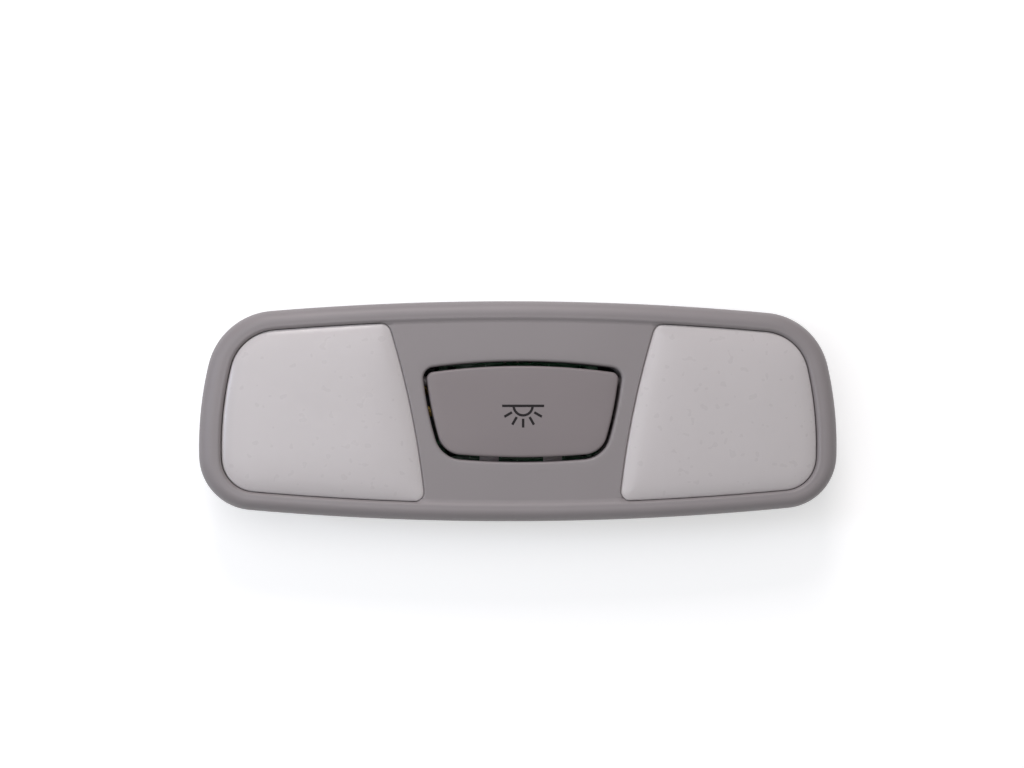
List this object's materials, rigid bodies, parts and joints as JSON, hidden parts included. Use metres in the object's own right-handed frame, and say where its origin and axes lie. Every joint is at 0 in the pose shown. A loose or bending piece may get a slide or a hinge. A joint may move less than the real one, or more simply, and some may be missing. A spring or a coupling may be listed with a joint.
{
  "type": "rear seat light",
  "caption": "Headliner courtesy light with opal lenses either side of a hinged push button, festoon bulbs, spring clips and a rear housing.",
  "frame": {"origin": "middle of the flat back, under the middle of the bezel's outline", "axes": "+X along the long side, +Y towards the long top edge, +Z out of the visible face"},
  "size_m": [0.2, 0.0688, 0.028],
  "materials": {
    "bezel_plastic": "finely grained moulded plastic, warm grey",
    "opal_lens": "opal diffuser, satin",
    "button_plastic": "satin painted plastic, taupe grey",
    "housing_plastic": "plain moulded, near black",
    "reflector_white": "gloss white moulding",
    "bulb_glass": "clear blown glass",
    "plated_caps": "nickel plated",
    "filament_wire": "drawn tungsten wire",
    "contact_brass": "stamped spring brass",
    "board_green": "solder mask over glass fibre board",
    "switch_black": "plain moulded",
    "plunger_plastic": "natural nylon",
    "spring_steel": "bright spring steel",
    "header_plastic": "natural nylon",
    "pin_metal": "tin plated brass",
    "screw_steel": "zinc plated"
  },
  "bodies": {
    "body": {"bezel": "bezel_plastic", "lens_left": "opal_lens", "lens_right": "opal_lens", "rear_housing": "housing_plastic", "reflector_left": "reflector_white", "reflector_right": "reflector_white", "bulb_glass_left": "bulb_glass", "bulb_glass_right": "bulb_glass", "bulb_caps_left": "plated_caps", "bulb_caps_right": "plated_caps", "filament_left": "filament_wire", "filament_right": "filament_wire", "contact_left_outer": "contact_brass", "contact_left_inner": "contact_brass", "contact_right_outer": "contact_brass", "contact_right_inner": "contact_brass", "circuit_board": "board_green", "switch_body": "switch_black", "switch_spring": "spring_steel", "connector_header": "header_plastic", "connector_pins": "pin_metal", "clip_left": "spring_steel", "clip_right": "spring_steel", "housing_screws": "screw_steel"},
    "button": {"button_cap": "button_plastic"},
    "plunger": {"switch_plunger": "plunger_plastic"}
  },
  "joints": [
    {"name": "button_press", "type": "hinge", "parent": "body", "child": "button", "pos_m": [0, 0.0095, 0.02055], "axis": [1, 0, 0], "range_deg": [0, 4], "stiffness_Nm_per_rad": 0.4, "springref_deg": -2.86},
    {"name": "plunger_press", "type": "slide", "parent": "body", "child": "plunger", "axis": [0, 0, -1], "range_m": [0, 0.001], "deforming": ["switch_spring"]}
  ],
  "couplings": [
    {"joint": "plunger_press", "follows": "button_press", "m_per_rad": 0.0125}
  ]
}
